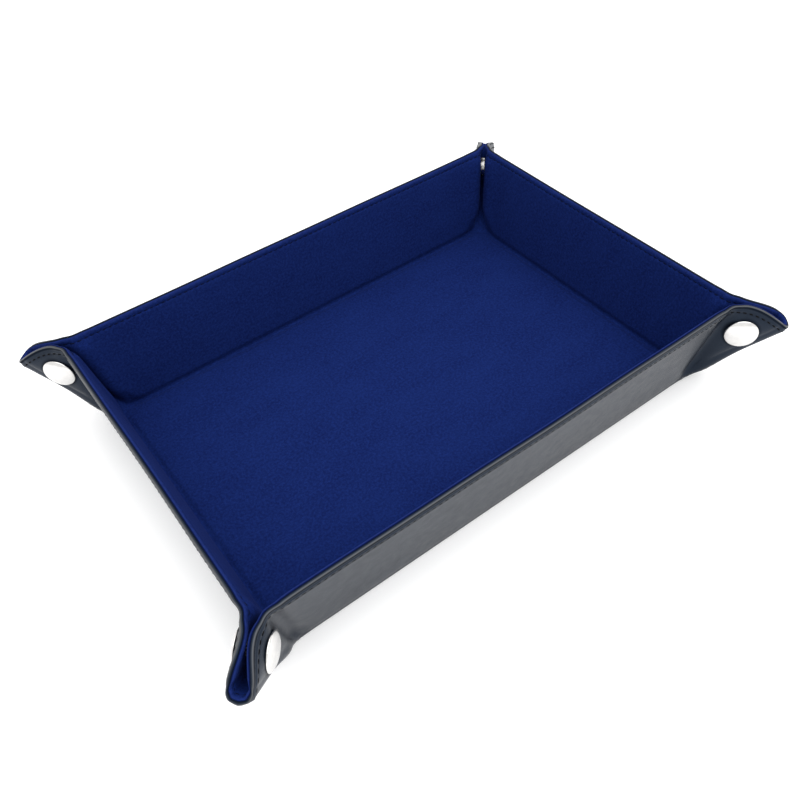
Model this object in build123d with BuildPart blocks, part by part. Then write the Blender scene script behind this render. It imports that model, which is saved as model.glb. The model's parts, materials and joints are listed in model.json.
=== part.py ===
"""Folding dice tray: a leatherette sheet lined with velvet, stiffened by five boards.

The sheet is cut and creased flat.  Its four walls stand up, and at each corner the spare square of
sheet is pinched into an ear: two halves lie face to face and a press snap holds them together.
The tray is drawn standing.  The origin is under the middle of the floor, +X along the long side, +Z up.
"""

import os
from math import acos, asin, atan, cos, degrees, radians, sin, sqrt

from build123d import *

# Driving dimensions, in millimetres and degrees.
floor_length = 233.0  # between the creases of the two short walls
floor_width = 156.0  # between the creases of the two long walls
wall_length = 47.5  # from crease to rim, measured up the wall
wall_angle = 78.0  # between a standing wall and the floor
corner_radius = 41.0  # of the sheet's four outer corners

leather_thickness = 2.0  # leatherette with its turned edge and backing
lining_thickness = 1.4  # velvet with its backing
board_thickness = 1.0
board_cover = leather_thickness - board_thickness  # leatherette behind a board

ear_offset = 4.0  # from the middle of one ear half to the plane between the halves
crease_gap = 1.55  # bare hinge line on each side of a floor crease
ear_gap = 0.9  # the same beside the crease between a wall and its ear
fold_gap = 1.85  # the same beside the fold along an ear's diagonal
fold_clearance = 0.25  # each fold strip stops this short of the plane between the halves

board_side_margin = 3.0  # bare sheet between a board and a crease
board_rim_margin = 6.0  # bare sheet between a board and the rim

seam_inset = 3.0  # from the rim to the thread
thread_width = 0.6
thread_height = 0.3

snap_along = 36.5  # up the ear's crease to the snap
snap_out = 11.0  # square out from that crease
cap_radius = 7.55
cap_edge = 0.7  # straight edge of a cap
cap_height = 2.3
rivet_radius = 2.0
socket_radius = 5.0
socket_height = 2.8
socket_bore = 2.6
socket_base = 0.4
stud_radius = 4.8
stud_base = 0.9
stud_post_radius = 2.05
stud_height = 3.3

# Derived sizes.
sheet_thickness = leather_thickness + lining_thickness
half_sheet = sheet_thickness / 2
lining_level = leather_thickness - half_sheet  # where lining and leatherette meet
board_level = board_cover - half_sheet  # the outer face of a board
slant = degrees(atan(cos(radians(wall_angle))))  # of an ear's crease, from square to the floor
ear_turn = degrees(acos(sin(radians(wall_angle)) / sqrt(2)))  # of an ear half out of its wall's plane
ear_wedge = 45 - slant  # between an ear's crease and its diagonal fold
ear_start = sqrt(2) * ear_offset  # where an ear's crease meets the floor crease, from the corner
ear_foot = 7.0  # lower end of an ear half, measured up its crease
fold_foot = 8.0  # lower end of a fold strip, measured along the diagonal

os.makedirs("parts", exist_ok=True)


def save(part, name):
    part.label = name
    export_step(part, f"parts/{name}.step")


# Frames.  In each, z = 0 is the middle of the sheet and +z points to the lined face.


def wall_frame(outward, span):
    """x runs along the crease and y up the wall; span is the floor's size across the crease."""
    up = outward * cos(radians(wall_angle)) + Vector(0, 0, 1) * sin(radians(wall_angle))
    inward = Vector(0, 0, 1) * cos(radians(wall_angle)) - outward * sin(radians(wall_angle))
    crease = outward * (span / 2) + Vector(0, 0, half_sheet)
    return Plane(origin=crease, x_dir=up.cross(inward), z_dir=inward)


def ear_frame(wall, crease_length, end):
    """x runs up the ear's crease from its foot and y, times -end, squarely away from the wall."""
    foot = wall.origin + wall.x_dir * end * (crease_length / 2 - ear_start)
    up = wall.x_dir * end * sin(radians(slant)) + wall.y_dir * cos(radians(slant))
    out = wall.x_dir * end * cos(radians(slant)) - wall.y_dir * sin(radians(slant))
    face = wall.z_dir * cos(radians(ear_turn)) + out * sin(radians(ear_turn))
    return Plane(origin=foot, x_dir=up, z_dir=face)


def fold_frame(ear, side):
    """x runs up the diagonal fold and y, times side, across it, square to the ear half."""
    out = ear.y_dir * side
    along = ear.x_dir * cos(radians(ear_wedge)) + out * sin(radians(ear_wedge))
    away = out * cos(radians(ear_wedge)) - ear.x_dir * sin(radians(ear_wedge))
    return Plane(origin=ear.origin, x_dir=along, z_dir=away * -1)


def snap_frame(ear, side):
    """x runs up the ear's crease and y out through the leatherette, from the middle of the sheet."""
    centre = ear.origin + ear.x_dir * snap_along + ear.y_dir * side * snap_out
    return Plane(origin=centre, x_dir=ear.x_dir, z_dir=ear.y_dir)


# Outlines on the flat sheet.


def ear_point(across, up, side):
    """A point of the corner square, from the corner of the floor, in the ear half's frame."""
    x = across + ear_start
    along = x * sin(radians(slant)) + up * cos(radians(slant))
    out = x * cos(radians(slant)) - up * sin(radians(slant))
    return along, side * out


def corner_arc(distance):
    """The point of the sheet's rounded corner at this distance from the corner's diagonal."""
    angle = radians(45) + asin(distance / corner_radius)
    middle = wall_length - corner_radius
    return middle + corner_radius * cos(angle), middle + corner_radius * sin(angle)


def ear_outline(side):
    fold_line = ear_offset + fold_gap
    rim_start = ((wall_length + ear_gap * sin(radians(slant))) / cos(radians(slant)), side * ear_gap)
    foot_width = (ear_foot * sin(radians(ear_wedge)) - fold_gap) / cos(radians(ear_wedge))
    arc_start = ear_point(wall_length - corner_radius, wall_length, side)
    arc_end = ear_point(*corner_arc(fold_line), side)
    arc_middle = ear_point(*corner_arc((fold_line + corner_radius / sqrt(2)) / 2), side)
    with BuildSketch() as outline:
        with BuildLine():
            Polyline((ear_foot, side * ear_gap), rim_start, arc_start)
            ThreePointArc(arc_start, arc_middle, arc_end)
            Polyline(arc_end, (ear_foot, side * foot_width), (ear_foot, side * ear_gap))
        make_face()
    return outline.sketch


def fold_outline(side):
    inner, outer = fold_gap, ear_offset - fold_clearance
    ends = []
    for across in (inner, outer):
        distance = ear_offset - across
        length = (wall_length - corner_radius) * sqrt(2) + sqrt(corner_radius**2 - distance**2)
        ends.append((length + ear_offset, side * across))
    with BuildSketch() as outline:
        with BuildLine():
            Polyline((fold_foot, side * inner), *ends, (fold_foot, side * outer), close=True)
        make_face()
    return outline.sketch


def wall_outline(crease_length):
    """A wall's panel: its ends follow the slanted creases of its two ears."""
    foot = crease_length / 2 - ear_start - ear_gap / cos(radians(slant))
    low, high = crease_gap, wall_length
    lean = sin(radians(slant)) / cos(radians(slant))
    corners = [(foot + low * lean, low), (foot + high * lean, high)]
    with BuildSketch() as outline:
        with BuildLine():
            Polyline(*corners, *[(-x, y) for x, y in reversed(corners)], close=True)
        make_face()
    return outline.sketch


# Floor: three layers, with the board in a pocket of the leatherette.

floor_plane = Plane.XY.offset(half_sheet)
panel_length = floor_length - 2 * crease_gap
panel_width = floor_width - 2 * crease_gap
floor_board_length = floor_length - 2 * board_side_margin
floor_board_width = floor_width - 2 * board_side_margin

with BuildPart() as floor_leather:
    with BuildSketch(floor_plane.offset(-half_sheet)):
        Rectangle(panel_length, panel_width)
    extrude(amount=leather_thickness)
    with BuildSketch(floor_plane.offset(board_level)):
        Rectangle(floor_board_length, floor_board_width)
    extrude(amount=board_thickness, mode=Mode.SUBTRACT)
save(floor_leather.part, "floor_leather")

with BuildPart() as floor_board:
    with BuildSketch(floor_plane.offset(board_level)):
        Rectangle(floor_board_length, floor_board_width)
    extrude(amount=board_thickness)
save(floor_board.part, "floor_board")

with BuildPart() as floor_lining:
    with BuildSketch(floor_plane.offset(lining_level)):
        Rectangle(panel_length, panel_width)
    extrude(amount=lining_thickness)
save(floor_lining.part, "floor_lining")


# Walls.


def build_wall(name, frame, crease_length):
    board_length = crease_length - 2 * (ear_start + board_side_margin)
    board_height = wall_length - board_side_margin - board_rim_margin
    board_middle = (0, board_side_margin + board_height / 2)
    seam_length = crease_length - 2 * ear_start
    seam_level = (0, wall_length - seam_inset)

    with BuildPart() as leather:
        with BuildSketch(frame.offset(-half_sheet)):
            add(wall_outline(crease_length))
        extrude(amount=leather_thickness)
        with BuildSketch(frame.offset(board_level)):
            with Locations(board_middle):
                Rectangle(board_length, board_height)
        extrude(amount=board_thickness, mode=Mode.SUBTRACT)
    save(leather.part, f"{name}_leather")

    with BuildPart() as board:
        with BuildSketch(frame.offset(board_level)):
            with Locations(board_middle):
                Rectangle(board_length, board_height)
        extrude(amount=board_thickness)
    save(board.part, f"{name}_board")

    with BuildPart() as lining:
        with BuildSketch(frame.offset(lining_level)):
            add(wall_outline(crease_length))
        extrude(amount=lining_thickness)
    save(lining.part, f"{name}_lining")

    with BuildPart() as stitching:
        with BuildSketch(frame.offset(-half_sheet)):
            with Locations(seam_level):
                SlotOverall(seam_length, thread_width)
        extrude(amount=-thread_height)
        with BuildSketch(frame.offset(half_sheet)):
            with Locations(seam_level):
                SlotOverall(seam_length, thread_width)
        extrude(amount=thread_height)
    save(stitching.part, f"{name}_stitching")


# Ears: each has a half on its long wall and a half on its short wall.


def build_ear_half(corner, half, ear, side):
    snap = (snap_along, side * snap_out)

    with BuildPart() as leather:
        with BuildSketch(ear.offset(-half_sheet)):
            add(ear_outline(side))
            with Locations(snap):
                Circle(rivet_radius, mode=Mode.SUBTRACT)
        extrude(amount=leather_thickness)
    save(leather.part, f"{corner}_{half}_ear_leather")

    with BuildPart() as lining:
        with BuildSketch(ear.offset(lining_level)):
            add(ear_outline(side))
            with Locations(snap):
                Circle(rivet_radius, mode=Mode.SUBTRACT)
        extrude(amount=lining_thickness)
    save(lining.part, f"{corner}_{half}_ear_lining")

    with BuildPart() as fold:
        with BuildSketch(fold_frame(ear, side).offset(-half_sheet)):
            add(fold_outline(side))
        extrude(amount=sheet_thickness)
    save(fold.part, f"{corner}_{half}_fold")


def snap_axis(snap):
    return Axis(snap.origin, snap.y_dir)


def build_cap(corner, half, snap):
    """A domed cap on the leatherette, with the rivet that goes through the sheet."""
    face = half_sheet
    rim = face + cap_edge
    top = face + cap_height
    shoulder = (cap_radius * 0.55, rim + (top - rim) * 0.74)
    with BuildPart() as cap:
        with BuildSketch(snap):
            with BuildLine():
                ThreePointArc((0, top), shoulder, (cap_radius, rim))
                Polyline((cap_radius, rim), (cap_radius, face), (rivet_radius, face))
                Polyline((rivet_radius, face), (rivet_radius, -face), (0, -face), (0, top))
            make_face()
        revolve(axis=snap_axis(snap))
    save(cap.part, f"{corner}_{half}_cap")


def build_socket(corner, snap):
    """A ring with a blind bore, on the lined face of the half that belongs to a long wall."""
    mouth = -half_sheet - socket_height
    floor = -half_sheet - socket_base
    with BuildPart() as socket:
        with BuildSketch(snap):
            with BuildLine():
                Polyline(
                    (0, -half_sheet),
                    (socket_radius, -half_sheet),
                    (socket_radius, mouth),
                    (socket_bore, mouth),
                    (socket_bore, floor),
                    (0, floor),
                    close=True,
                )
            make_face()
        revolve(axis=snap_axis(snap))
    save(socket.part, f"{corner}_socket")


def build_stud(corner, snap):
    """A flange with a post that fills the socket, on the half that belongs to a short wall."""
    flange = -half_sheet - stud_base
    tip = -half_sheet - stud_height
    chamfer_size = stud_post_radius / 3
    with BuildPart() as stud:
        with BuildSketch(snap):
            with BuildLine():
                Polyline(
                    (0, -half_sheet),
                    (stud_radius, -half_sheet),
                    (stud_radius, flange),
                    (stud_post_radius, flange),
                    (stud_post_radius, tip + chamfer_size),
                    (stud_post_radius - chamfer_size, tip),
                    (0, tip),
                    close=True,
                )
            make_face()
        revolve(axis=snap_axis(snap))
    save(stud.part, f"{corner}_stud")


front, back = Vector(0, -1, 0), Vector(0, 1, 0)
left, right = Vector(-1, 0, 0), Vector(1, 0, 0)
walls = {
    "front": (wall_frame(front, floor_width), floor_length),
    "back": (wall_frame(back, floor_width), floor_length),
    "left": (wall_frame(left, floor_length), floor_width),
    "right": (wall_frame(right, floor_length), floor_width),
}
# Which end of each wall's crease, along its own x, meets which corner.
corners = {
    "front_left": {"front": 1, "left": -1},
    "front_right": {"front": -1, "right": 1},
    "back_left": {"back": -1, "left": 1},
    "back_right": {"back": 1, "right": -1},
}

for wall, (frame, crease_length) in walls.items():
    build_wall(f"{wall}_wall", frame, crease_length)

for corner, ends in corners.items():
    for wall, end in ends.items():
        frame, crease_length = walls[wall]
        half = "long" if wall in ("front", "back") else "short"
        ear = ear_frame(frame, crease_length, end)
        build_ear_half(corner, half, ear, -end)
        snap = snap_frame(ear, -end)
        build_cap(corner, half, snap)
        if half == "long":
            build_socket(corner, snap)
        else:
            build_stud(corner, snap)
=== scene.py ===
import json
import math

import bmesh
import bpy
import numpy as np
from mathutils import Matrix, Vector


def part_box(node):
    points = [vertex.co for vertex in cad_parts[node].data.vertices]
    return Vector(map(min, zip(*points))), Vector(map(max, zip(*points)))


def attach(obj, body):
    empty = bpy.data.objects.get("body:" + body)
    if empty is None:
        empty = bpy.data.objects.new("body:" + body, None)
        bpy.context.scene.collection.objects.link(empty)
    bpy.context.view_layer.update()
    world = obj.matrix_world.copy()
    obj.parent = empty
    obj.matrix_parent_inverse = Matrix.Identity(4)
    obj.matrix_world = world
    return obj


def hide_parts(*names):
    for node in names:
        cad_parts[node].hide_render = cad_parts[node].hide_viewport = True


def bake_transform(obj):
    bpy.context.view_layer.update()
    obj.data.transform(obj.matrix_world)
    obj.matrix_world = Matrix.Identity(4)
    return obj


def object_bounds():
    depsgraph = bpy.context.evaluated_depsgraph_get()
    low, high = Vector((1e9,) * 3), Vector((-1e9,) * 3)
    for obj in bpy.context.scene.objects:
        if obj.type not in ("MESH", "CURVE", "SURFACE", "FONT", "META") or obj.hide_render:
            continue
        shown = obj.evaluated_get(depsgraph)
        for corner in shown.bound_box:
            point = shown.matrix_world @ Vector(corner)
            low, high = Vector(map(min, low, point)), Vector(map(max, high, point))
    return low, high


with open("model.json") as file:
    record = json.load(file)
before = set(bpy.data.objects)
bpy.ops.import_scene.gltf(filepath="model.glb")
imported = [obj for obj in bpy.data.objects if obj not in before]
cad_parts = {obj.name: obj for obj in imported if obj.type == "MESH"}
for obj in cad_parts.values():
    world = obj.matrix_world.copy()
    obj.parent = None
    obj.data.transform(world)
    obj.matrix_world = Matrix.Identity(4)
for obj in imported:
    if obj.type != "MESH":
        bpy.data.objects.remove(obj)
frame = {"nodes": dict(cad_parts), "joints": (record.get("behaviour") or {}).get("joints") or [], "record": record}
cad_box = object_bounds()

# The tray is one flat sheet, leatherette below and velvet above, stood up along its creases.  Every
# piece is laid out on the flat sheet and then stood up round the frame's own hinges.
#
# Wall coordinates: x runs along a wall from its middle, y across its crease and up the wall, and h
# from the middle of the sheet towards the lined face.  half is half a wall's length.  end is -1 or 1
# for a piece at that end of a wall, and 0 for one that spans it.

MM = 0.001
joints = {joint["name"]: joint for joint in frame["joints"]}
ratios = {link["joint"]: link["ratio"] for link in frame["record"]["behaviour"]["couplings"]}

# Sizes, read from the frame.
WALL_TURN = math.radians(joints["walls_fold"]["range_deg"][1])
EAR_TURN = WALL_TURN * ratios["front_left_long_ear_turn"]
FOLD_TURN = WALL_TURN * ratios["front_left_long_fold_turn"]
SLANT = math.atan(math.cos(WALL_TURN))  # of an ear's crease, from square to the floor
HALF_X = abs(joints["left_wall_fold"]["pos_m"][0])
HALF_Y = abs(joints["walls_fold"]["pos_m"][1])
LEVEL = joints["walls_fold"]["pos_m"][2]  # of the middle of the sheet
EAR_START = HALF_X - abs(joints["front_left_long_ear_turn"]["pos_m"][0])
SEAM_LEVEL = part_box("floor_lining")[0].z - LEVEL  # where leatherette and velvet meet
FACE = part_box("floor_lining")[1].z - LEVEL  # each face of the sheet from its middle
WALL_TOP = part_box("front_wall_lining")[1].z - LEVEL
WALL = (WALL_TOP - FACE * math.cos(WALL_TURN)) / math.sin(WALL_TURN)
CORNER_RADIUS = 41 * MM

WALLS = {
    "front": {"along": (1, 0), "out": (0, -1), "half": HALF_X, "reach": HALF_Y},
    "back": {"along": (1, 0), "out": (0, 1), "half": HALF_X, "reach": HALF_Y},
    "left": {"along": (0, 1), "out": (-1, 0), "half": HALF_Y, "reach": HALF_X},
    "right": {"along": (0, 1), "out": (1, 0), "half": HALF_Y, "reach": HALF_X},
}
CORNERS = {
    "front_left": {"front": -1, "left": -1},
    "front_right": {"front": 1, "right": -1},
    "back_left": {"back": -1, "left": 1},
    "back_right": {"back": 1, "right": 1},
}
LONG_WALLS = ("front", "back")

# The hinges that a piece of each kind goes round, its own first: the axis and the angle of each.
WALL_AXIS = (1, 0, 0)
EAR_AXIS = (math.sin(SLANT), math.cos(SLANT), 0)
FOLD_AXIS = (math.sqrt(0.5), math.sqrt(0.5), 0)
WALL_HINGE = (WALL_AXIS, WALL_TURN)
EAR_HINGE = (EAR_AXIS, EAR_TURN)
FOLD_HINGE = (FOLD_AXIS, -FOLD_TURN)
TURNS = {
    "wall": [WALL_HINGE],
    "ear": [EAR_HINGE, WALL_HINGE],
    "fold": [FOLD_HINGE, EAR_HINGE, WALL_HINGE],
}
ACROSS = {  # the way across each kind's hinge on the flat sheet
    "wall": (0, 1, 0),
    "ear": (math.cos(SLANT), -math.sin(SLANT), 0),
    "fold": (math.sqrt(0.5), -math.sqrt(0.5), 0),
}
BENDS = {  # how far each bend reaches, before and after its hinge line
    "wall": (2.3 * MM, 2.3 * MM),
    "ear": (4.5 * MM, 4.5 * MM),
    "fold": (4.0 * MM, 1.6 * MM),
}


def ear_halves():
    """The name, the wall and the end of each of the eight halves of an ear."""
    for corner, ends in CORNERS.items():
        for wall, end in ends.items():
            yield f"{corner}_{'long' if wall in LONG_WALLS else 'short'}", wall, end


def smooth(value, low, high):
    t = np.clip((value - low) / (high - low), 0, 1)
    return t * t * (3 - 2 * t)


def bump(value, middle, width):
    return np.exp(-(((value - middle) / width) ** 2))


def hill(value, foot, top, edge, end):
    """1 from top to edge, with smooth slopes to 0 at foot and at end, all in mm."""
    return smooth(value, foot * MM, top * MM) * (1 - smooth(value, edge * MM, end * MM))


# Places on the flat sheet.


def on_sheet(x, y, wall):
    """Where a flat point of a wall lies in the part's frame."""
    side = WALLS[wall]
    out = side["reach"] + y
    return [a * x + o * out for a, o in zip(side["along"], side["out"])]


def to_world(points, wall, end):
    """Wall coordinates in the part's frame."""
    x, y, h = points.T
    u, v = on_sheet(x * (end or 1), y, wall)
    return np.stack([u, v, LEVEL + h], -1)


def past_crease(x, y, half):
    """How far a flat point lies past the crease of the nearest ear."""
    return (np.abs(x) - half + EAR_START) * math.cos(SLANT) - y * math.sin(SLANT)


def rim_distance(x, y, half):
    """How far a flat point is from the sheet's cut edge."""
    past_x = x - (half + WALL - CORNER_RADIUS)
    past_y = y - (WALL - CORNER_RADIUS)
    arc = CORNER_RADIUS - np.hypot(past_x, past_y)
    return np.where((past_x > 0) & (past_y > 0), arc, WALL - y)


# Standing the sheet up.

BISECTIONS = 34
FAR = 30 * MM  # past every bend
MITRE_WIDTH = 0.6 * MM


def bend_share(r, h, angle, reach):
    """How much of a hinge's turn a point takes: r past the hinge line, h above the sheet's middle."""
    before, after = reach
    low, high = np.zeros_like(r), np.ones_like(r)
    for _ in range(BISECTIONS):
        share = (low + high) / 2
        cos, sin = np.cos(share * angle), np.sin(share * angle)
        level, rise = r * cos - h * sin, r * sin + h * cos
        along = level * math.cos(angle / 2) + rise * math.sin(angle / 2)
        more = smooth(along, -before, after) > share
        low, high = np.where(more, share, low), np.where(more, high, share)
    return (low + high) / 2


def quaternion(axis, angle):
    half = np.asarray(angle) / 2
    return np.stack([np.cos(half), *(a * np.sin(half) for a in axis)], -1)


def multiply(p, q):
    w, v = p[..., :1], p[..., 1:]
    x, u = q[..., :1], q[..., 1:]
    real = w * x - (v * u).sum(-1, keepdims=True)
    return np.concatenate([real, w * u + x * v + np.cross(v, u)], -1)


def turn(points, axis, angle):
    cos, sin = np.cos(angle)[:, None], np.sin(angle)[:, None]
    kept = axis * (points * axis).sum(-1, keepdims=True)
    return points * cos + np.cross(axis, points) * sin + kept * (1 - cos)


def turned(vector, turns):
    """One vector, taken through several turns."""
    for axis, angle in turns:
        vector = turn(np.array([vector], float), np.array(axis, float), np.array([angle]))[0]
    return vector


def soft_max(a, b):
    gap, width = a - b, MITRE_WIDTH
    return (a + b + np.sqrt(gap**2 + width**2)) / 2 - width / 2 * np.exp(-((gap / width) ** 2) / 4)


def stand_half(x, y, h, half):
    """Flat points of a wall's positive half, stood up."""
    foot = half - EAR_START
    across = x - foot
    beyond = soft_max(y, (across + y) / math.sqrt(2))
    ear = np.minimum(past_crease(x, y, half), FAR)
    fold = np.minimum((across - y) / math.sqrt(2), FAR)
    wall_share = bend_share(beyond, h, WALL_TURN, BENDS["wall"])
    ear_share = bend_share(ear, h, -EAR_TURN, BENDS["ear"])
    fold_share = bend_share(fold, h, FOLD_TURN, BENDS["fold"])
    q = quaternion(WALL_AXIS, np.full_like(x, WALL_TURN))
    q = multiply(q, quaternion(EAR_AXIS, EAR_TURN * ear_share))
    q = multiply(q, quaternion(FOLD_AXIS, -FOLD_TURN * fold_share))
    size = np.linalg.norm(q[:, 1:], axis=1)
    axis = q[:, 1:] / size[:, None]
    angle = 2 * np.arctan2(size, q[:, 0]) * wall_share
    return turn(np.stack([across, y, h], -1), axis, angle) + np.array([foot, 0, 0])


def stand(x, y, h, half):
    """The same, with the two halves of a corner's fold kept together on the corner's diagonal."""
    points = stand_half(x, y, h, half)
    off = half + y - x  # from the diagonal, along the wall
    near = off < EAR_START
    if near.any():
        mid = (x + y - half)[near] / 2
        edge = stand_half(half + mid, mid, h[near], half)
        gap = (edge[:, 0] - half - edge[:, 1]) / 2
        fade = smooth(off[near], EAR_START, 0)
        points[near, 0] -= gap * fade
        points[near, 1] += gap * fade
    return points


# How far the sheet strays from its flat panels, in mm, and where: the hills run across an ear's
# crease, and the rises go up the wall.
RIM_FADE = (0.5 * MM, 8 * MM)  # from the pinch at the rim to the push inside it
CREASE_PUSH = 1.3
CREASE_HILL = (-10, 0, 0, 7)
CREASE_RISE = (2 * MM, 11 * MM)
PINCH = 2.3  # of an ear's halves towards each other
PINCH_HILL = (-3, 9, 10, 27)
PINCH_RETURN = 0.8  # the other way, at the crease
PINCH_RETURN_WIDTH = 5 * MM
NOSE_PUSH = 1.86  # rounds the nose of an ear
NOSE_OFF = 4.95 * MM
NOSE_WIDTH = 3.0 * MM
NOSE_RISE = (6 * MM, 24 * MM)
WAVE_RISE = (4 * MM, 20 * MM)
WAVE_FADE = (2 * MM, 12 * MM)  # past an ear's crease
LONG_WAVE = (0.16, 37, 1.1, 29, 0.4)  # height, then the pace and start of its two factors
SHORT_WAVE = (0.1, 83, -61, 2.3)  # height, the two paces, and its start


def unevenness(u, v):
    """The walls' slight waves, by place on the flat sheet in metres."""
    height, pace_u, start_u, pace_v, start_v = LONG_WAVE
    long = height * np.sin(u * pace_u + start_u) * np.cos(v * pace_v + start_v)
    height, pace_u, pace_v, start = SHORT_WAVE
    return long + height * np.sin(u * pace_u + v * pace_v + start)


def slack(x, y, half, wall):
    """How far the sheet is pushed towards its lined face: ears drawn together, walls not flat."""
    ear = past_crease(x, y, half)
    off = (half + y - np.abs(x)) / math.sqrt(2)  # from the corner's diagonal
    near_rim = 1 - smooth(rim_distance(np.abs(x), y, half), *RIM_FADE)
    crease = CREASE_PUSH * hill(ear, *CREASE_HILL) * smooth(y, *CREASE_RISE)
    pinch = PINCH * hill(ear, *PINCH_HILL) - PINCH_RETURN * bump(ear, 0, PINCH_RETURN_WIDTH)
    nose = NOSE_PUSH * bump(off, NOSE_OFF, NOSE_WIDTH) * smooth(y, *NOSE_RISE)
    wave = unevenness(*on_sheet(x, y, wall)) * smooth(y, *WAVE_RISE) * (1 - smooth(ear, *WAVE_FADE))
    return (crease * (1 - near_rim) + pinch * near_rim + nose + wave) * MM


def stand_piece(x, y, h, wall, end):
    """Flat points of a wall, stood up and left flat, both in the part's frame."""
    half = WALLS[wall]["half"]
    points = stand(np.abs(x), y, h + slack(x * (end or 1), y, half, wall), half)
    if end == 0:
        points[:, 0] *= np.where(x < 0, -1, 1)
    return to_world(points, wall, end), to_world(np.stack([x, y, h], -1), wall, end)


# The sheet's two layers: the height of each one's outer face by distance from the rim, in mm.  The
# velvet's heights are read at the leatherette's distances.

LEATHER_RIM = (
    (0.05, -0.78), (0.18, -1.02), (0.42, -1.14), (0.80, -1.18), (1.15, -1.20), (1.45, -1.24),
    (1.75, -1.40), (2.10, -1.66), (2.50, -1.72), (2.78, -1.64), (3.00, -1.56), (3.22, -1.64),
    (3.55, -1.72), (4.20, -1.72), (5.20, -1.70),
)  # fmt: skip
VELVET_RIM = (
    (0.24, 0.82), (0.30, 1.00), (0.48, 1.22), (0.80, 1.42), (1.15, 1.55), (1.45, 1.62),
    (1.75, 1.65), (2.10, 1.64), (2.50, 1.57), (2.78, 1.44), (3.00, 1.30), (3.22, 1.44),
    (3.55, 1.60), (4.20, 1.69), (5.20, 1.70),
)  # fmt: skip
PROFILES = {"leather": LEATHER_RIM, "lining": VELVET_RIM}
EDGES = {"leather": ((0.0, -0.50), (0.02, -0.14), (0.14, 0.13)), "lining": ((0.34, 0.42), (0.26, 0.66))}
GLUED_FROM = {"leather": 0.36, "lining": 0.46}  # where the face between the layers starts
SEAM_INSET = 3.0 * MM
LEATHER_SEAM = dict(LEATHER_RIM)[3.00] * MM
VELVET_SEAM = dict(VELVET_RIM)[3.00] * MM

# The rows of points, in mm: from the rim, then up the wall from its crease, then onto the floor.
RIM_ROWS = [e for e, _ in LEATHER_RIM]
PANEL_ROWS = [6.6, 8.5, 11, 14, 17.5, 21, 24.5, 28, 31.5, 34.5, 37, 39]
CREASE_ROWS = [7.2, 6.2, 5.3, 4.5, 3.8, 3.2, 2.7, 2.2, 1.8, 1.4, 1.0, 0.6, 0.25, 0]
FLOOR_ROWS = [-0.3, -0.7, -1.1, -1.5, -1.9, -2.35, -EAR_START / MM / 2, -3.4, -4.0, -4.6, -5.3, -6]
DEEP_EDGE = RIM_ROWS[-1] * MM

# How much thinner the sheet is at its creases, where it has no board, in mm.
FLOOR_RELIEF = 0.28
FLOOR_RELIEF_FADE = (1.8 * MM, 3.9 * MM)
FLOOR_RELIEF_END = (0, 4 * MM)  # past an ear's crease
EAR_RELIEF = 0.08
EAR_RELIEF_HILL = (-6, -1, 0.5, 6)


def crease_relief(x, y, half):
    """How much thinner the sheet is along its creases, on each face."""
    ear = past_crease(x, y, half)
    floor = FLOOR_RELIEF * (1 - smooth(np.abs(y), *FLOOR_RELIEF_FADE))
    side = EAR_RELIEF * hill(ear, *EAR_RELIEF_HILL)
    return MM * np.maximum(floor * (1 - smooth(ear, *FLOOR_RELIEF_END)), side)


def faces_at(layer, e, relief):
    """The heights of a layer's lower and upper face at distance e from the rim."""
    outer = np.interp(e / MM, RIM_ROWS, [height for _, height in PROFILES[layer]]) * MM
    glued = np.full_like(outer, SEAM_LEVEL)
    if layer == "leather":
        return outer + relief, glued
    return glued, outer - relief


def rim_steps(layer):
    """The distances of the rim rows on a layer's lower and on its upper face, in mm."""
    outer = [e for e, _ in PROFILES[layer]]
    glued = [max(e, GLUED_FROM[layer]) for e in outer]
    return (outer, glued) if layer == "leather" else (glued, outer)


# The flat layout of each kind of piece.  Each function gives the flat points of one row: at distance
# e from the rim for a rim row, or at height y up the wall for a deeper one.

FLOOR_MARGIN = 6 * MM  # bare floor that goes with the walls
EAR_MARGIN = 7.15 * MM  # bare wall that goes with an ear, measured along the wall
FOLD_MARGIN = 10.6 * MM  # the same beside an ear's diagonal fold
FOLD_SIDE = (EAR_START + FOLD_MARGIN) / math.sqrt(2)  # from there to the corner's diagonal
EAR_RAY = 0.894  # how fast each margin opens, going up from the corner's foot
FOLD_RAY = 0.555


def wall_end(y, half):
    """How far along the wall its own piece reaches at height y."""
    foot = half - EAR_START
    if y >= 0:
        return foot + math.tan(SLANT) * y - min(EAR_MARGIN, EAR_RAY * y)
    return min(foot - y, half + y)


def along_rim(s, e, half):
    """The point s along a row that runs e inside the rim, counted from where the corner rounds."""
    radius, middle = CORNER_RADIUS - e, WALL - CORNER_RADIUS
    angle = np.maximum(s, 0) / radius
    x = half + middle + np.minimum(s, 0) + radius * np.sin(angle)
    return x, middle + radius * np.cos(angle)


def wall_end_along(e, half):
    """Where along such a row the wall's piece ends."""
    return wall_end(WALL - e, half) - half - WALL + CORNER_RADIUS


def ear_end_along(e):
    """Where the ear's piece ends."""
    radius = CORNER_RADIUS - e
    return radius * (math.pi / 4 - math.asin(FOLD_SIDE / radius))


def fold_end_along(e):
    """Where the corner's diagonal is."""
    return (CORNER_RADIUS - e) * math.pi / 4


def ear_end(share, half):
    """The point a share of the way up the line where an ear piece meets its fold piece."""
    y = share * along_rim(ear_end_along(DEEP_EDGE), DEEP_EDGE, half)[1]
    return half - EAR_START + y - min(FOLD_MARGIN, FOLD_RAY * y), y


def diagonal(share, half):
    """The point a share of the way up a corner's diagonal."""
    low = -EAR_START / 2
    y = low + share * (along_rim(fold_end_along(DEEP_EDGE), DEEP_EDGE, half)[1] - low)
    return half + y, y


def wall_row(y, half, steps):
    return steps * wall_end(y, half), np.full(len(steps), y)


def wall_rim_row(e, half, steps):
    return wall_row(WALL - e, half, steps)


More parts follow.
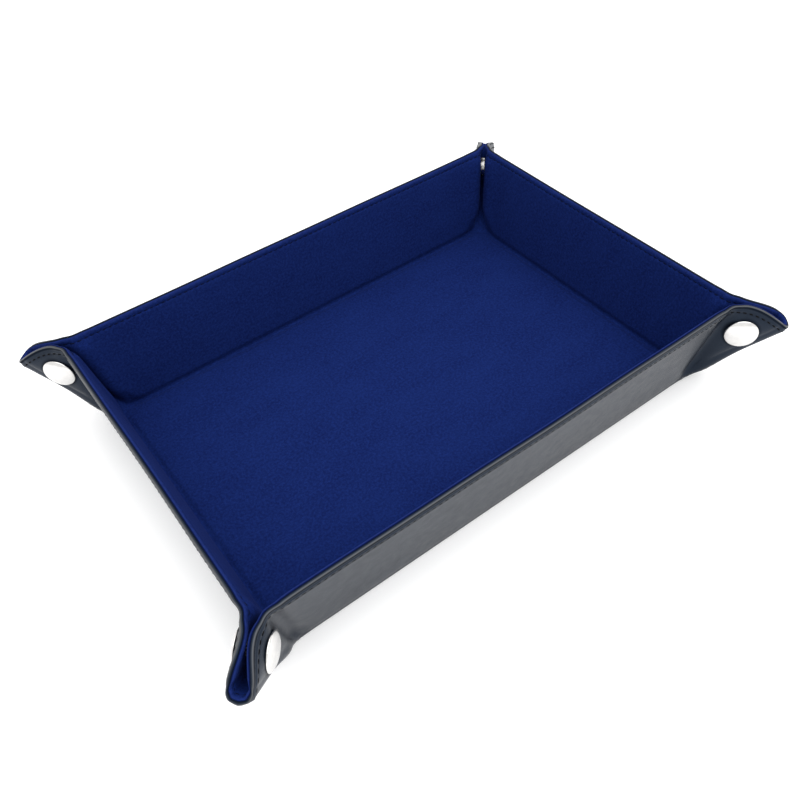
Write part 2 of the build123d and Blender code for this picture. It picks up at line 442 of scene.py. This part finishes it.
def ear_rim_row(e, half, steps):
    start, end = wall_end_along(e, half), ear_end_along(e)
    return along_rim(start + (end - start) * steps, e, half)


def fold_rim_row(e, half, steps):
    start, end = ear_end_along(e), fold_end_along(e)
    return along_rim(start + (end - start) * steps, e, half)


def deeper(top, start, end, share, steps):
    """A row between two points that takes on the top row's curve as it nears it."""
    start, end, top = np.array(start), np.array(end), np.array(top)
    straight_top = top[:, :1] + np.outer(top[:, -1] - top[:, 0], steps)
    return start[:, None] + np.outer(end - start, steps) + (top - straight_top) * share**2


def ear_row(y, half, steps):
    share = y / (WALL - DEEP_EDGE)
    top = ear_rim_row(DEEP_EDGE, half, steps)
    return deeper(top, (wall_end(y, half), y), ear_end(share, half), share, steps)


def fold_row(y, half, steps):
    share = y / (WALL - DEEP_EDGE)
    top = fold_rim_row(DEEP_EDGE, half, steps)
    return deeper(top, ear_end(share, half), diagonal(share, half), share, steps)


LAYOUTS = {
    "wall": (wall_rim_row, wall_row),
    "ear": (ear_rim_row, ear_row),
    "fold": (fold_rim_row, fold_row),
}


def piece_rows(kind, layer, half, steps):
    """A piece's flat rows: up its lower face, round its edge, and down its upper face."""
    rim_row, deep_row = LAYOUTS[kind]
    heights = [WALL - e * MM for e in PANEL_ROWS] + [y * MM for y in CREASE_ROWS]
    if kind == "wall":
        heights += [y * MM for y in FLOOR_ROWS]
    deep = [deep_row(y, half, steps) for y in heights]
    distances = (*rim_steps(layer), [e for e, _ in EDGES[layer]])
    lower, upper, edge = ([rim_row(e * MM, half, steps) for e in part] for part in distances)
    return (lower + deep)[::-1], edge, upper + deep


# Meshes.

MERGE_WITHIN = 2e-6
SHORTEST_EDGE = 1e-6


def add_object(name, data):
    obj = bpy.data.objects.new(name, data)
    bpy.context.scene.collection.objects.link(obj)
    return obj


def clean(mesh):
    """Joins points that meet, drops slivers and turns the faces outward."""
    edit = bmesh.new()
    edit.from_mesh(mesh)
    bmesh.ops.remove_doubles(edit, verts=edit.verts, dist=MERGE_WITHIN)
    bmesh.ops.dissolve_degenerate(edit, edges=edit.edges, dist=SHORTEST_EDGE)
    bmesh.ops.recalc_face_normals(edit, faces=edit.faces)
    edit.to_mesh(mesh)
    edit.free()


def make_object(name, points, flat, faces, finish, sharp=52):
    """A mesh that remembers where its points lie on the flat sheet, and how far from its rim."""
    mesh = bpy.data.meshes.new(name)
    mesh.from_pydata([tuple(p) for p in points], [], faces)
    place = mesh.attributes.new("sheet", "FLOAT_VECTOR", "POINT")
    place.data.foreach_set("vector", np.asarray(flat, np.float32).ravel())
    x, y = np.abs(np.asarray(flat)[:, :2].T)
    rim = np.minimum(rim_distance(x, y - HALF_Y, HALF_X), rim_distance(y, x - HALF_X, HALF_Y))
    edge = mesh.attributes.new("rim", "FLOAT", "POINT")
    edge.data.foreach_set("value", rim.astype(np.float32))
    clean(mesh)
    mesh.shade_smooth()
    mesh.set_sharp_from_angle(angle=math.radians(sharp))
    mesh.materials.append(finish)
    return add_object(name, mesh)


def shell_faces(depth, edge, columns):
    """Faces of a closed shell: depth rows on each face, edge rows round the rim between them."""
    ring = 2 * depth + edge

    def v(r, i):
        return (r % ring) * columns + i

    faces = [
        (v(r, i), v(r + 1, i), v(r + 1, i + 1), v(r, i + 1))
        for r in range(ring)
        for i in range(columns - 1)
    ]
    for i in (0, columns - 1):
        for r in range(depth - 1):
            faces.append((v(r, i), v(r + 1, i), v(ring - 2 - r, i), v(ring - 1 - r, i)))
        if edge:
            faces.append([v(r, i) for r in range(depth - 1, depth + edge + 1)])
    return faces


def tube_faces(first, rings, sides):
    """Faces between rings of points, the first ring starting at point first."""
    faces = []
    for ring in range(rings - 1):
        start = first + ring * sides
        for k in range(sides):
            a, b = start + k, start + (k + 1) % sides
            faces.append((a, b, b + sides, a + sides))
    return faces


def grid_area(x, y):
    """The area of a grid of flat points."""
    p = np.stack([x, y], -1)
    a, b = p[1:, 1:] - p[:-1, :-1], p[1:, :-1] - p[:-1, 1:]
    return float(np.abs(a[..., 0] * b[..., 1] - a[..., 1] * b[..., 0]).sum() / 2)


# Pieces of sheet.


def sheet_piece(name, kind, layer, wall, end, steps, finish):
    """One piece of a layer beside a rim, with its flat size and its flat area."""
    half, columns = WALLS[wall]["half"], len(steps)
    lower, edge, upper = piece_rows(kind, layer, half, steps)
    x, y = (np.concatenate([row[k] for row in lower + edge + upper]) for k in (0, 1))
    relief = crease_relief(x, y, half)
    low, high = faces_at(layer, rim_distance(np.abs(x), y, half), relief)
    count = len(lower) * columns
    between = np.repeat([height * MM for _, height in EDGES[layer]], columns)
    h = np.concatenate([low[:count], between, high[-count:]])
    points, flat = stand_piece(x, y, h, wall, end)
    faces = shell_faces(len(lower), len(edge), columns)
    obj = make_object(name, points, flat, faces, finish)
    if kind == "fold":  # a narrow strip, measured along the diagonal
        x, y = (x - y) / math.sqrt(2), (x + y) / math.sqrt(2)
    area = grid_area(*(np.array([row[k] for row in upper]) for k in (0, 1)))
    return obj, (float(np.ptp(x)), float(np.ptp(y))), area


def floor_piece(name, layer, columns, rows, finish):
    xs = np.linspace(-1, 1, columns) * (HALF_X - FLOOR_MARGIN)
    ys = np.linspace(-1, 1, rows) * (HALF_Y - FLOOR_MARGIN)
    x, y = (grid.ravel() for grid in np.meshgrid(xs, ys))
    low, high = faces_at(layer, np.full(len(x), WALL), np.zeros(len(x)))
    order = np.arange(len(x)).reshape(rows, columns)[::-1].ravel()
    lower = np.stack([x, y, LEVEL + low], -1)[order]
    points = np.concatenate([lower, np.stack([x, y, LEVEL + high], -1)])
    return make_object(name, points, points, shell_faces(rows, 0, columns), finish)


def bend_zone(kind, wall, end):
    """The start and end of a piece's bend, in the part's frame."""
    turns, (before, after) = TURNS[kind], BENDS[kind]
    way = turned(ACROSS[kind], turns[1:]) + turned(ACROSS[kind], turns)
    way /= np.linalg.norm(way)
    hinge = np.array([0.0 if kind == "wall" else WALLS[wall]["half"] - EAR_START, 0, 0])
    ends = np.array([hinge - way * before, hinge + way * after])
    return [tuple(p) for p in to_world(ends, wall, end)]


def bend(obj, kind, wall, end):
    """Bakes a piece's place into its mesh, after working out where its bend starts and ends."""
    start, finish = bend_zone(kind, wall, end)
    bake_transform(obj)


# Stitches.

STITCH_PITCH = 3.0 * MM
STITCH_LENGTH = 2.1 * MM
STITCH_WIDTH = 0.33 * MM
STITCH_FLATNESS = 0.8
STITCH_SECTIONS = (  # place along it, share of its width, and rise in mm
    (-1.0, 0.25, -0.32), (-0.86, 0.72, -0.09), (-0.45, 1.0, 0.03), (0, 1.0, 0.06),
    (0.45, 1.0, 0.03), (0.86, 0.72, -0.09), (1.0, 0.25, -0.32),
)  # fmt: skip
STITCH_SIDES = 8
STITCH_LEAN = math.radians(5)


def kind_at(s, e, half):
    """The kind of piece that a point along the rim lies on."""
    if s < wall_end_along(e, half):
        return "wall"
    return "ear" if s < ear_end_along(e) else "fold"


def seam_stations(half):
    """(x, y, direction) of every stitch on half a wall, evenly along the seam, by kind of piece."""
    start, finish = -(half + WALL - CORNER_RADIUS), fold_end_along(SEAM_INSET)
    count = round((finish - start) / STITCH_PITCH)
    stations = {"wall": [], "ear": [], "fold": []}
    for s in start + (np.arange(count) + 0.5) * (finish - start) / count:
        x, y = along_rim(s, SEAM_INSET, half)
        direction = -max(s, 0) / (CORNER_RADIUS - SEAM_INSET)
        stations[kind_at(s, SEAM_INSET, half)].append((x, y, direction))
    return stations


def stitch_points(x, y, direction, height, face):
    """The points of one stitch on one face of the sheet."""
    points = []
    lean = direction + STITCH_LEAN * face
    cos, sin = math.cos(lean), math.sin(lean)
    for place, size, rise in STITCH_SECTIONS:
        for k in range(STITCH_SIDES):
            angle = 2 * math.pi * k / STITCH_SIDES
            u = place * STITCH_LENGTH / 2
            v = math.cos(angle) * size * STITCH_WIDTH
            w = math.sin(angle) * size * STITCH_WIDTH * STITCH_FLATNESS + rise * MM
            points.append((x + cos * u - sin * v, y + sin * u + cos * v, height + face * w))
    return points


def stitch_faces(first):
    last = first + (len(STITCH_SECTIONS) - 1) * STITCH_SIDES
    ends = [[ring + k for k in range(STITCH_SIDES)] for ring in (first, last)]
    return tube_faces(first, len(STITCH_SECTIONS), STITCH_SIDES) + ends


def stitches(name, wall, end, stations, finish):
    points, faces = [], []
    for x, y, direction in stations:
        for face, height in ((-1, LEATHER_SEAM), (1, VELVET_SEAM)):
            faces += stitch_faces(len(points))
            points += stitch_points(x, y, direction, height, face)
    placed, flat = stand_piece(*np.array(points).T, wall, end)
    return make_object(name, placed, flat, faces, finish)


# Snaps.

SNAP_ALONG = 36.5 * MM  # up an ear's crease to the middle of its cap
SNAP_OUT = 11 * MM  # and out from it
SNAP_X = SNAP_ALONG * math.sin(SLANT) + SNAP_OUT * math.cos(SLANT) - EAR_START
SNAP_Y = SNAP_ALONG * math.cos(SLANT) - SNAP_OUT * math.sin(SLANT)
CAP_RADIUS = 7.55 * MM
CAP_PROFILE = (  # radius and height in mm
    (0.0, 2.30), (1.2, 2.27), (2.4, 2.18), (3.6, 2.02), (4.7, 1.78), (5.6, 1.50),
    (6.3, 1.22), (6.85, 0.95), (7.20, 0.74), (7.42, 0.54), (7.53, 0.34), (7.55, 0.16),
    (7.50, 0.02), (7.36, -0.10), (7.10, -0.16), (6.80, -0.10), (6.70, -0.30), (0.0, -0.35),
)  # fmt: skip
CAP_SEGMENTS = 96
CAP_SHARP = 70


def cap_piece(name, wall, end, finish):
    """A domed cap on an ear's leatherette face, its edge rolled under."""
    foot = np.array([WALLS[wall]["half"] - EAR_START, 0, 0])
    centre = foot + turned((SNAP_X + EAR_START, SNAP_Y, 0), TURNS["ear"])
    up, side, normal = (turned(v, TURNS["ear"]) for v in (EAR_AXIS, ACROSS["ear"], (0, 0, -1)))
    points = []
    for radius, height in CAP_PROFILE:
        for k in range(CAP_SEGMENTS):
            angle = 2 * math.pi * k / CAP_SEGMENTS
            spoke = (math.cos(angle) * up + math.sin(angle) * side) * radius * MM
            points.append(centre + spoke + normal * (FACE + height * MM))
    world = to_world(np.array(points), wall, end)
    faces = tube_faces(0, len(CAP_PROFILE), CAP_SEGMENTS)
    return make_object(name, world, world, faces, finish, sharp=CAP_SHARP)


# Material helpers.


def new_material(name):
    made = bpy.data.materials.new(name)
    made.use_nodes = True
    return made, made.node_tree


def feed(tree, socket, value):
    """Links a socket to another one, or gives it a constant."""
    if isinstance(value, bpy.types.NodeSocket):
        tree.links.new(value, socket)
    else:
        socket.default_value = value


def feed_all(tree, sockets, values):
    for key, value in values.items():
        feed(tree, sockets[key], value)


def shaded(made, values):
    """A material with values on its shader."""
    tree = made.node_tree
    feed_all(tree, tree.nodes["Principled BSDF"].inputs, values)
    return made


def node(tree, kind, inputs, **settings):
    made = tree.nodes.new(kind)
    for key, value in settings.items():
        setattr(made, key, value)
    feed_all(tree, made.inputs, inputs)
    return made


def attribute(tree, name, output):
    return node(tree, "ShaderNodeAttribute", {}, attribute_name=name).outputs[output]


def sheet_place(tree):
    return attribute(tree, "sheet", "Vector")


def rim_place(tree):
    return attribute(tree, "rim", "Fac")


def object_place(tree):
    return node(tree, "ShaderNodeTexCoord", {}).outputs["Object"]


def sheet_height(tree, place):
    return node(tree, "ShaderNodeSeparateXYZ", {"Vector": place}).outputs["Z"]


def stretched(tree, place, scale, rotation=(0, 0, 0)):
    inputs = {"Vector": place, "Scale": scale, "Rotation": rotation}
    return node(tree, "ShaderNodeMapping", inputs).outputs["Vector"]


def noise(tree, place, scale, detail, roughness):
    inputs = {"Vector": place, "Scale": scale, "Detail": detail, "Roughness": roughness}
    return node(tree, "ShaderNodeTexNoise", inputs).outputs["Fac"]


def spread(tree, value, low, high, to_low=0.0, to_high=1.0):
    """A value mapped from low..high to to_low..to_high, and kept there."""
    inputs = {
        "Value": value,
        "From Min": low,
        "From Max": high,
        "To Min": to_low,
        "To Max": to_high,
    }
    return node(tree, "ShaderNodeMapRange", inputs).outputs["Result"]


def maths(tree, operation, a, b):
    return node(tree, "ShaderNodeMath", {0: a, 1: b}, operation=operation).outputs[0]


def mix_colour(tree, share, a, b):
    made = node(tree, "ShaderNodeMix", {}, data_type="RGBA")
    sockets = {socket.identifier: socket for socket in made.inputs}
    feed_all(tree, sockets, {"Factor_Float": share, "A_Color": a, "B_Color": b})
    return next(s for s in made.outputs if s.identifier == "Result_Color")


def bumped(tree, height, strength, distance, normal=None):
    inputs = {"Height": height, "Strength": strength, "Distance": distance}
    if normal is not None:
        inputs["Normal"] = normal
    return node(tree, "ShaderNodeBump", inputs).outputs["Normal"]


def stepped(tree, value, steps):
    """A value that follows (place, height) steps."""
    ramp = node(tree, "ShaderNodeValToRGB", {"Fac": value})
    elements = ramp.color_ramp.elements
    for place, _ in steps[len(elements) :]:
        elements.new(place)
    for element, (place, height) in zip(elements, steps):
        element.position = place
        element.color = (height, height, height, 1)
    return ramp.outputs["Color"]


# Velvet.

VELVET_DARK = (0.0032, 0.0095, 0.068, 1)
VELVET_LIGHT = (0.0046, 0.0138, 0.088, 1)
VELVET_NAP = (0.0092, 0.0250, 0.148, 1)
VELVET_SHADE = (0.0012, 0.0042, 0.030, 1)
VELVET_RIM_SHEEN = (0.0200, 0.0350, 0.165, 1)
VELVET_SHEEN = (0.16, 0.24, 0.95, 1)
NAP_STRETCH = (1.0, 2.2, 1.0)
NAP_TURN = (0, 0, 0.5)
PATCHES = (30, 4, 0.6)  # like all noise below: scale, detail and roughness
CLUMPS = (850, 4, 0.7)
TUFTS = (3200, 2, 0.6)


def velvet_colour(tree, place, clumps, tufts):
    """Brushed patches and fine tufts, with a painted sheen on the rolled rim and a painted shadow on the cut edge.
    """
    patches = noise(tree, stretched(tree, place, NAP_STRETCH, NAP_TURN), *PATCHES)
    brushed = mix_colour(tree, spread(tree, patches, 0.35, 0.68), VELVET_DARK, VELVET_LIGHT)
    napped = mix_colour(tree, spread(tree, clumps, 0.38, 0.66, 0, 0.8), brushed, VELVET_NAP)
    piled = mix_colour(tree, spread(tree, tufts, 0.3, 0.75, 0, 0.5), napped, VELVET_SHADE)
    # A painted sheen: the rolled rim is painted a paler blue.
    rolled = spread(tree, rim_place(tree), 1.6 * MM, 0.5 * MM, 0, 0.24)
    edged = mix_colour(tree, rolled, piled, VELVET_RIM_SHEEN)
    height = sheet_height(tree, place)
    # A painted shadow: the velvet's cut edge, beside the leatherette, is painted dark.
    cut = spread(tree, height, LEVEL + 0.95 * MM, LEVEL + 0.65 * MM, 0, 0.85)
    return mix_colour(tree, cut, edged, VELVET_SHADE)


def make_velvet():
    """Short royal-blue pile with a soft sheen."""
    made, tree = new_material("velvet")
    place = sheet_place(tree)
    clumps = noise(tree, place, *CLUMPS)
    tufts = noise(tree, place, *TUFTS)
    soft = bumped(tree, clumps, 0.35, 0.5 * MM)
    values = {
        "Base Color": velvet_colour(tree, place, clumps, tufts),
        "Roughness": spread(tree, clumps, 0.3, 0.7, 0.86, 1.0),
        "Normal": bumped(tree, tufts, 0.5, 0.16 * MM, soft),
        "Specular IOR Level": 0.04,
        "Sheen Weight": 0.05,
        "Sheen Roughness": 0.4,
        "Sheen Tint": VELVET_SHEEN,
    }
    return shaded(made, values)


# Leatherette.

LEATHER_DARK = (0.0045, 0.0072, 0.0130, 1)
LEATHER_PALE = (0.0080, 0.0115, 0.0190, 1)
LEATHER_CREASE = (0.0030, 0.0042, 0.0070, 1)
LEATHER_WEAR_AND_HIGHLIGHT = (0.1050, 0.1000, 0.0900, 1)
LEATHER_TINT = (0.55, 0.71, 1.0, 1)  # of its gloss
CELL_SCALE = 1500.0
PORES = (2600, 3, 0.6)
CLOUDS = (38, 4, 0.55)
ROUGHNESS = (210, 4, 0.6)
RIM_WIDTH = 6 * MM
RIM_GLOSS = (  # share of RIM_WIDTH from the rim, and gloss
    (0.0, 0.38), (0.04, 0.38), (0.07, 0.03), (0.19, 0.03), (0.24, 0.30), (0.38, 0.28),
    (0.43, 0.24), (0.57, 0.24), (0.62, 0.28),
)  # fmt: skip


def cap_distance(tree, place):
    """How far a place on the flat sheet is from the nearest snap."""
    level = node(tree, "ShaderNodeVectorMath", {0: place, 1: (1, 1, 0)}, operation="MULTIPLY")
    folded = node(tree, "ShaderNodeVectorMath", {0: level.outputs[0]}, operation="ABSOLUTE")
    far = []
    for centre in ((HALF_X + SNAP_X, HALF_Y + SNAP_Y, 0), (HALF_X + SNAP_Y, HALF_Y + SNAP_X, 0)):
        inputs = {0: folded.outputs[0], 1: centre}
        reach = node(tree, "ShaderNodeVectorMath", inputs, operation="DISTANCE")
        far.append(reach.outputs["Value"])
    return maths(tree, "MINIMUM", *far)


def leather_colour(tree, grain, cloudy, height):
    """Near black, rubbed paler in places, dark in the grain, and paler along the outer edge: worn there, with a
    painted highlight.
    """
    base = mix_colour(tree, spread(tree, cloudy, 0.4, 0.7), LEATHER_DARK, LEATHER_PALE)
    grained = mix_colour(tree, spread(tree, grain, 0.0, 1.0, 0.35, 0.0), base, LEATHER_CREASE)
    # The outer cut edge is painted paler: partly its wear, partly a painted highlight.
    at_rim = spread(tree, rim_place(tree), 0.34 * MM, 0.14 * MM, 0, 0.55)
    outside = spread(tree, height, LEVEL - 0.44 * MM, LEVEL - 0.62 * MM)
    return mix_colour(tree, maths(tree, "MULTIPLY", at_rim, outside), grained, LEATHER_WEAR_AND_HIGHLIGHT)


def leather_gloss(tree, place, height):
    """Gloss of the finish, duller in the stitched groove and inside the sheet, with painted shadow round the caps
    and on the cut edge along the seam.
    """
    gloss = stepped(tree, spread(tree, rim_place(tree), 0, RIM_WIDTH), RIM_GLOSS)
    far = cap_distance(tree, place)
    # A painted shadow: the gloss is cut to a dark ring round each cap.
    cap_shadow = spread(tree, far, CAP_RADIUS + 0.1 * MM, CAP_RADIUS + 1.4 * MM, 0.15, 1)
    # A painted shadow: the gloss is cut on the cut edge beside the velvet, a dark line along the seam.
    painted = spread(tree, height, LEVEL - 0.25 * MM, LEVEL + 0.05 * MM, 1, 0.1)
    return maths(tree, "MULTIPLY", maths(tree, "MULTIPLY", gloss, cap_shadow), painted)


def make_leather():
    """Smooth black leatherette with a fine pressed grain."""
    made, tree = new_material("leatherette")
    place = sheet_place(tree)
    height = sheet_height(tree, place)
    inputs = {"Vector": place, "Scale": CELL_SCALE}
    cells = node(tree, "ShaderNodeTexVoronoi", inputs, feature="DISTANCE_TO_EDGE")
    grain = spread(tree, cells.outputs["Distance"], 0.0, 0.28)
    pores = noise(tree, place, *PORES)
    cloudy = noise(tree, place, *CLOUDS)
    rough = noise(tree, place, *ROUGHNESS)
    coarse = bumped(tree, cloudy, 0.1, 0.8 * MM)
    fine = bumped(tree, grain, 0.35, 0.06 * MM, coarse)
    # The gloss of the open panels comes first, for an export that can't follow the nodes to it.
    shaded(made, {"Specular IOR Level": RIM_GLOSS[-1][1]})
    values = {
        "Base Color": leather_colour(tree, grain, cloudy, height),
        "Roughness": spread(tree, rough, 0.3, 0.7, 0.33, 0.40),
        "Normal": bumped(tree, pores, 0.25, 0.05 * MM, fine),
        "Specular IOR Level": leather_gloss(tree, place, height),
        "IOR": 1.5,
        "Specular Tint": LEATHER_TINT,
    }
    return shaded(made, values)


# Thread, steel and board.

THREAD_BLACK = ((0.0015, 0.0015, 0.002, 1), (0.007, 0.007, 0.008, 1))
THREAD_NAVY = ((0.001, 0.0025, 0.014, 1), (0.003, 0.007, 0.034, 1))
CAP_ROUGHNESS = 0.10
INNER_ROUGHNESS = 0.22
CAP_STEEL = ((0.62, 0.61, 0.60, 1), (0.72, 0.71, 0.695, 1))
INNER_STEEL = ((0.36, 0.355, 0.35, 1), (0.48, 0.47, 0.46, 1))
BOARD = ((0.30, 0.27, 0.23, 1), (0.50, 0.46, 0.40, 1))
THREAD_FIBRES = (5200, 2, 0.6)
STEEL_HAZE = (260, 4, 0.6)
STEEL_HAIRLINES = (900, 2, 0.5)
HAIRLINE_STRETCH = (1.0, 1.0, 26.0)
BOARD_FIBRES = (700, 4, 0.65)
BOARD_STRETCH = (1.0, 6.0, 1.0)


def make_thread():
    """Twisted polyester, black on the leatherette and navy on the velvet."""
    made, tree = new_material("thread")
    place = sheet_place(tree)
    inputs = {"Vector": place, "Scale": 620.0, "Distortion": 1.2, "Detail": 1.0}
    ply = node(tree, "ShaderNodeTexWave", inputs, bands_direction="DIAGONAL").outputs["Fac"]
    fibres = noise(tree, place, *THREAD_FIBRES)
    black, navy = (mix_colour(tree, ply, *pair) for pair in (THREAD_BLACK, THREAD_NAVY))
    lined = spread(tree, sheet_height(tree, place), LEVEL - 0.5 * MM, LEVEL + 0.5 * MM)
    values = {
        "Base Color": mix_colour(tree, lined, black, navy),
        "Roughness": spread(tree, fibres, 0.3, 0.7, 0.65, 0.85),
        "Normal": bumped(tree, ply, 0.6, 0.08 * MM),
        "Specular IOR Level": 0.05,
    }
    return shaded(made, values)


def make_steel(name, rough, dark, light):
    """Nickel plate, polished, with faint haze and hairline wear."""
    made, tree = new_material(name)
    place = object_place(tree)
    haze = noise(tree, place, *STEEL_HAZE)
    hairlines = noise(tree, stretched(tree, place, HAIRLINE_STRETCH), *STEEL_HAIRLINES)
    values = {
        "Base Color": mix_colour(tree, spread(tree, haze, 0.35, 0.7), dark, light),
        "Roughness": spread(tree, haze, 0.3, 0.7, rough, rough + 0.08),
        "Normal": bumped(tree, hairlines, 0.12, 0.02 * MM),
        "Metallic": 1.0,
    }
    return shaded(made, values)


def make_board():
    """Grey-brown pressed board with short fibres."""
    made, tree = new_material("board")
    place = stretched(tree, object_place(tree), BOARD_STRETCH)
    fibres = noise(tree, place, *BOARD_FIBRES)
    values = {
        "Base Color": mix_colour(tree, spread(tree, fibres, 0.35, 0.7), *BOARD),
        "Normal": bumped(tree, fibres, 0.4, 0.1 * MM),
        "Roughness": 0.85,
    }
    return shaded(made, values)


# The object.

WALL_COLUMNS = {"front": 93, "back": 93, "left": 63, "right": 63}
EAR_DENSE = 0.4  # the share of an ear piece, from its wall, with closer columns
EAR_DENSE_STEPS = np.linspace(0, EAR_DENSE, 20, endpoint=False)
EAR_STEPS = np.concatenate([EAR_DENSE_STEPS, np.linspace(EAR_DENSE, 1, 18)])
FOLD_STEPS = np.linspace(0, 1, 30)
SLOTS = {"leather": "leatherette", "lining": "velvet"}
LEAST_SIDE = 0.0102  # of a piece's flat size, in metres


def finish_piece(flat, area, node_name):
    """Hides the CAD node that a piece of sheet replaces."""
    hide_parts(node_name)
    width, length = (max(LEAST_SIDE, side) for side in flat)
    area = min(area, width * length)


def make_floor(layer, finish):
    slot = SLOTS[layer]
    columns, rows = WALL_COLUMNS["front"], WALL_COLUMNS["left"]
    floor = floor_piece(f"floor_{slot}", layer, columns, rows, finish)
    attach(floor, "floor")
    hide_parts(f"floor_{layer}")


def make_sheet(layer, finish):
    slot = SLOTS[layer]
    make_floor(layer, finish)
    for wall, columns in WALL_COLUMNS.items():
        steps = np.linspace(-1, 1, columns)
        name = f"{wall}_{slot}"
        piece, flat, area = sheet_piece(name, "wall", layer, wall, 0, steps, finish)
        bend(piece, "wall", wall, 0)
        finish_piece(flat, area, f"{wall}_wall_{layer}")
    for half_name, wall, end in ear_halves():
        for kind, steps in (("ear", EAR_STEPS), ("fold", FOLD_STEPS)):
            name = f"{half_name}_{kind}_{slot}"
            piece, flat, area = sheet_piece(name, kind, layer, wall, end, steps, finish)
            bend(piece, kind, wall, end)
            node_name = f"{half_name}_fold" if kind == "fold" else f"{half_name}_ear_{layer}"
            finish_piece(flat, area, node_name)


def make_stitches(finish):
    for wall, side in WALLS.items():
        plain = seam_stations(side["half"])["wall"]
        mirrored = [(-x, y, math.pi - direction) for x, y, direction in plain]
        piece = stitches(f"{wall}_stitches", wall, 0, mirrored[::-1] + plain, finish)
        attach(piece, f"{wall}_wall")
        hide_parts(f"{wall}_wall_stitching")
    for half_name, wall, end in ear_halves():
        stations = seam_stations(WALLS[wall]["half"])
        for kind in ("ear", "fold"):
            name = f"{half_name}_{kind}_stitches"
            piece = stitches(name, wall, end, stations[kind], finish)
            bend(piece, kind, wall, end)


def make_snaps(finish, hardware):
    for half_name, wall, end in ear_halves():
        cap = cap_piece(f"{half_name}_dome", wall, end, finish)
        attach(cap, f"{half_name}_ear")
        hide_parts(f"{half_name}_cap")
    paint_nodes(("_socket", "_stud"), hardware)


def paint_nodes(endings, finish):
    """Gives the CAD nodes whose names end so a material."""
    for name, obj in frame["nodes"].items():
        if not name.endswith(endings):
            continue
        if not obj.material_slots:
            obj.data.materials.append(finish)
        for slot in obj.material_slots:
            slot.material = finish


# The setting.

VIEW_TURN = math.radians(-33.5405)
VIEW_RISE = math.radians(47.0679)
VIEW_ROLL = math.radians(-4.3232)
VIEW_DISTANCE = 0.39818
VIEW_AIM = Vector((-0.005229, -0.004769, 0.0034))
VIEW_LENS = 36.907
SENSOR_WIDTH = 36
CLIP_START = 0.01
TABLE_SIZE = 8.0
TABLE_WHITE = (0.93, 0.93, 0.93, 1)
TABLE_GLOW = 0.13
WHITE = (1, 1, 1, 1)
WORLD_STRENGTH = 1.22
KEY_PLACE = Vector((0.15, -0.35, 1.3))
KEY_AIM = Vector((0.02, -0.05, 0))
KEY_SIZE = 1.8
KEY_POWER = 15.0


def make_camera():
    camera = add_object("camera", bpy.data.cameras.new("camera"))
    camera.data.lens = VIEW_LENS
    camera.data.sensor_width = SENSOR_WIDTH
    camera.data.clip_start = CLIP_START
    near = math.cos(VIEW_RISE)
    back = Vector((math.sin(VIEW_TURN) * near, -math.cos(VIEW_TURN) * near, math.sin(VIEW_RISE)))
    level = (-back).cross(Vector((0, 0, 1))).normalized()
    upright = back.cross(level)
    right = math.cos(VIEW_ROLL) * level + math.sin(VIEW_ROLL) * upright
    up = math.cos(VIEW_ROLL) * upright - math.sin(VIEW_ROLL) * level
    turned_to = Matrix((right, up, back)).transposed().to_4x4()
    camera.matrix_world = Matrix.Translation(VIEW_AIM + back * VIEW_DISTANCE) @ turned_to
    bpy.context.scene.camera = camera


def make_table():
    low, s = cad_box[0].z, TABLE_SIZE / 2
    corners = [(-s, -s, low), (s, -s, low), (s, s, low), (-s, s, low)]
    mesh = bpy.data.meshes.new("table")
    mesh.from_pydata(corners, [], [(0, 1, 2, 3)])
    values = {
        "Base Color": TABLE_WHITE,
        "Roughness": 0.9,
        "Specular IOR Level": 0.1,
        "Emission Color": WHITE,
        "Emission Strength": TABLE_GLOW,
    }
    mesh.materials.append(shaded(new_material("table_white")[0], values))
    add_object("table", mesh)


def make_light():
    world = bpy.data.worlds.new("studio")
    world.use_nodes = True
    sky = world.node_tree.nodes["Background"].inputs
    sky["Color"].default_value = WHITE
    sky["Strength"].default_value = WORLD_STRENGTH
    bpy.context.scene.world = world
    light = bpy.data.lights.new("key", "AREA")
    light.size = KEY_SIZE
    light.energy = KEY_POWER
    lamp = add_object("key", light)
    lamp.location = KEY_PLACE
    lamp.rotation_euler = (KEY_AIM - KEY_PLACE).to_track_quat("-Z", "Y").to_euler()
    bpy.context.scene.view_settings.view_transform = "Standard"


make_camera()
make_table()
make_light()
make_sheet("leather", make_leather())
make_sheet("lining", make_velvet())
make_stitches(make_thread())
cap_finish = make_steel("snap_cap", CAP_ROUGHNESS, *CAP_STEEL)
make_snaps(cap_finish, make_steel("snap_hardware", INNER_ROUGHNESS, *INNER_STEEL))
paint_nodes(("_board",), make_board())
bpy.context.view_layer.update()
